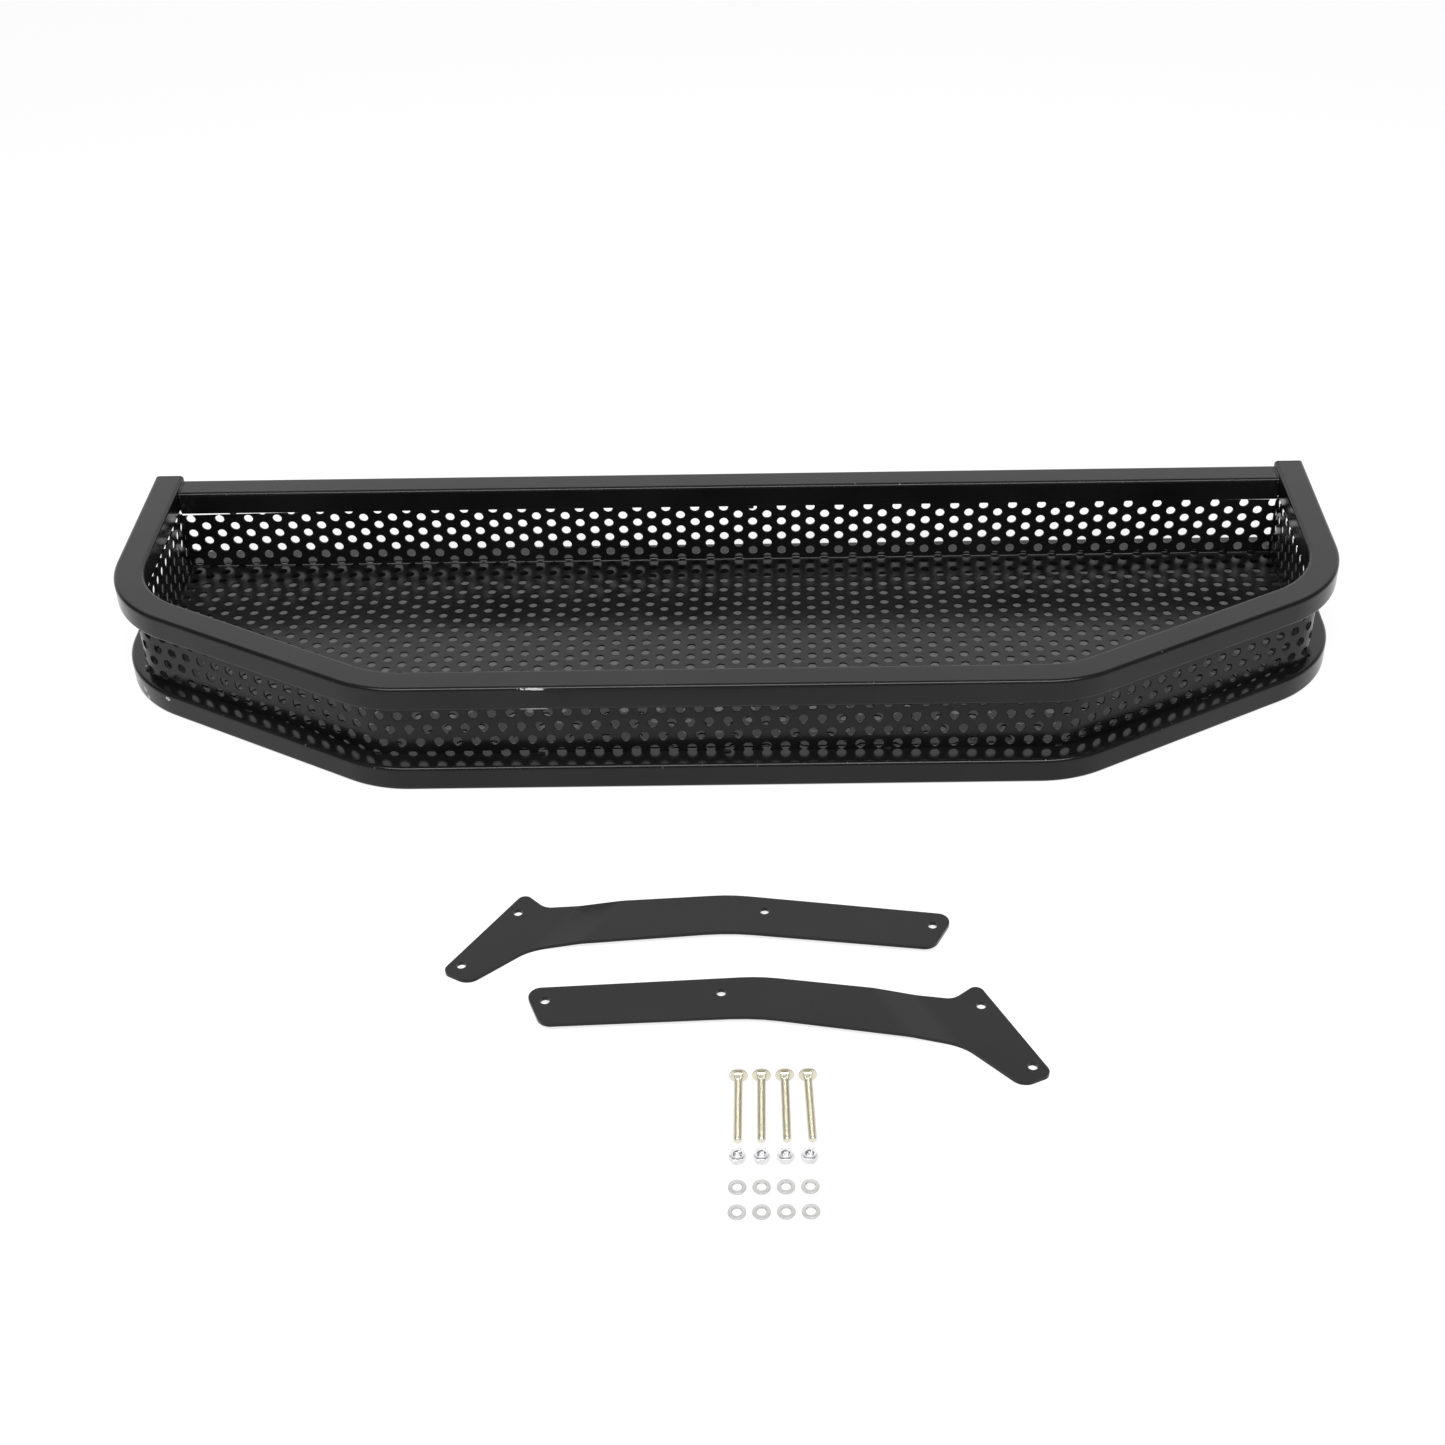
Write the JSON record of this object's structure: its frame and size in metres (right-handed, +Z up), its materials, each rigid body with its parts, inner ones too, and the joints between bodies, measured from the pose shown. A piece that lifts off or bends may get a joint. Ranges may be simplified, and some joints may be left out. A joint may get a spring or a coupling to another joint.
{
  "type": "cargo basket kit",
  "caption": "Shallow perforated steel cargo basket with tubular top and lower rails and angled front corners, with loose bracket plates, bolts, nuts and washers.",
  "frame": {"origin": "on the floor under the middle of the rear lower rail, on its centreline", "axes": "+X to the basket's right, +Y to its back, +Z up"},
  "size_m": [1.036, 0.7789, 0.1],
  "materials": {
    "powder_coat_black": "satin black powder coat on steel tube and plate, lightly worn at the edges",
    "sheet_powder_coat_black": "satin black powder coat on perforated steel sheet",
    "plug_plastic_black": "moulded matt black plastic",
    "zinc_yellow": "pale yellow zinc plating",
    "zinc_bright": "bright zinc plating",
    "zinc_dull": "dull zinc plating"
  },
  "bodies": {
    "basket": {"top_rail": "powder_coat_black", "rear_top_rail": "powder_coat_black", "lower_rail": "powder_coat_black", "rear_lower_rail": "powder_coat_black", "floor_and_rear_panel": "sheet_powder_coat_black", "front_side_panel": "sheet_powder_coat_black", "top_rail_plug_left": "plug_plastic_black", "top_rail_plug_right": "plug_plastic_black", "lower_rail_plug_left": "plug_plastic_black", "lower_rail_plug_right": "plug_plastic_black"},
    "bracket_left": {"bracket_left": "powder_coat_black"},
    "bracket_right": {"bracket_right": "powder_coat_black"},
    "bolt_1": {"bolt_1": "zinc_yellow"},
    "bolt_2": {"bolt_2": "zinc_yellow"},
    "bolt_3": {"bolt_3": "zinc_yellow"},
    "bolt_4": {"bolt_4": "zinc_yellow"},
    "nut_1": {"nut_1": "zinc_bright"},
    "nut_2": {"nut_2": "zinc_bright"},
    "nut_3": {"nut_3": "zinc_bright"},
    "nut_4": {"nut_4": "zinc_bright"},
    "washer_1": {"washer_1": "zinc_dull"},
    "washer_2": {"washer_2": "zinc_dull"},
    "washer_3": {"washer_3": "zinc_dull"},
    "washer_4": {"washer_4": "zinc_dull"},
    "washer_5": {"washer_5": "zinc_dull"},
    "washer_6": {"washer_6": "zinc_dull"},
    "washer_7": {"washer_7": "zinc_dull"},
    "washer_8": {"washer_8": "zinc_dull"}
  },
  "joints": [
    {"name": "bracket_left_lift", "type": "slide", "parent": "basket", "child": "bracket_left", "axis": [0, 0, 1], "range_m": [0, 0.12]},
    {"name": "bracket_right_lift", "type": "slide", "parent": "basket", "child": "bracket_right", "axis": [0, 0, 1], "range_m": [0, 0.12]},
    {"name": "bolt_1_lift", "type": "slide", "parent": "basket", "child": "bolt_1", "axis": [0, 0, 1], "range_m": [0, 0.12]},
    {"name": "bolt_2_lift", "type": "slide", "parent": "basket", "child": "bolt_2", "axis": [0, 0, 1], "range_m": [0, 0.12]},
    {"name": "bolt_3_lift", "type": "slide", "parent": "basket", "child": "bolt_3", "axis": [0, 0, 1], "range_m": [0, 0.12]},
    {"name": "bolt_4_lift", "type": "slide", "parent": "basket", "child": "bolt_4", "axis": [0, 0, 1], "range_m": [0, 0.12]},
    {"name": "nut_1_lift", "type": "slide", "parent": "basket", "child": "nut_1", "axis": [0, 0, 1], "range_m": [0, 0.12]},
    {"name": "nut_2_lift", "type": "slide", "parent": "basket", "child": "nut_2", "axis": [0, 0, 1], "range_m": [0, 0.12]},
    {"name": "nut_3_lift", "type": "slide", "parent": "basket", "child": "nut_3", "axis": [0, 0, 1], "range_m": [0, 0.12]},
    {"name": "nut_4_lift", "type": "slide", "parent": "basket", "child": "nut_4", "axis": [0, 0, 1], "range_m": [0, 0.12]},
    {"name": "washer_1_lift", "type": "slide", "parent": "basket", "child": "washer_1", "axis": [0, 0, 1], "range_m": [0, 0.12]},
    {"name": "washer_2_lift", "type": "slide", "parent": "basket", "child": "washer_2", "axis": [0, 0, 1], "range_m": [0, 0.12]},
    {"name": "washer_3_lift", "type": "slide", "parent": "basket", "child": "washer_3", "axis": [0, 0, 1], "range_m": [0, 0.12]},
    {"name": "washer_4_lift", "type": "slide", "parent": "basket", "child": "washer_4", "axis": [0, 0, 1], "range_m": [0, 0.12]},
    {"name": "washer_5_lift", "type": "slide", "parent": "basket", "child": "washer_5", "axis": [0, 0, 1], "range_m": [0, 0.12]},
    {"name": "washer_6_lift", "type": "slide", "parent": "basket", "child": "washer_6", "axis": [0, 0, 1], "range_m": [0, 0.12]},
    {"name": "washer_7_lift", "type": "slide", "parent": "basket", "child": "washer_7", "axis": [0, 0, 1], "range_m": [0, 0.12]},
    {"name": "washer_8_lift", "type": "slide", "parent": "basket", "child": "washer_8", "axis": [0, 0, 1], "range_m": [0, 0.12]}
  ]
}
